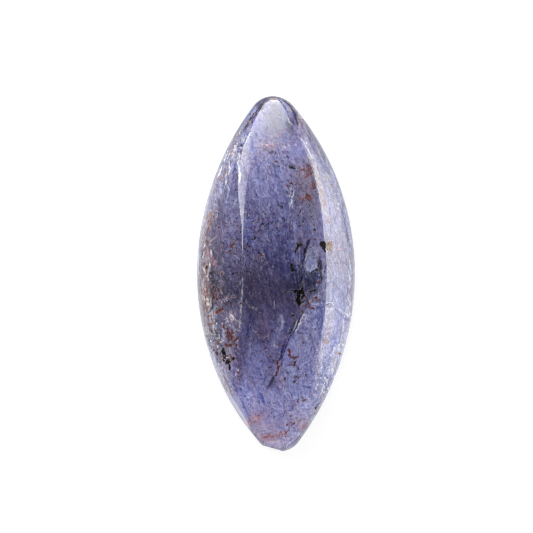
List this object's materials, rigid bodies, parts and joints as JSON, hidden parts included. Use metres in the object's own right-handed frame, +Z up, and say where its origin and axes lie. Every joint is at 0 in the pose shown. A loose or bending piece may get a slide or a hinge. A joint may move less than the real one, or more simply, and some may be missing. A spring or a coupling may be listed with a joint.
{
  "type": "tanzanite cabochon",
  "caption": "Marquise cabochon of natural included violet-blue tanzanite: high polished dome over a flat bevelled back, for setting as a pendant or ring stone.",
  "frame": {"origin": "centre of the flat back's bounding rectangle, on the surface the stone lies on", "axes": "+Z up through the dome, the shortest extent; +Y along the stone towards its rounder tip; +X across"},
  "size_m": [0.0088, 0.02, 0.0049],
  "materials": {
    "polished_stone": "glossy polished, see-through violet-blue crystal with inclusions"
  },
  "bodies": {
    "root": {"cabochon": "polished_stone"}
  },
  "joints": []
}
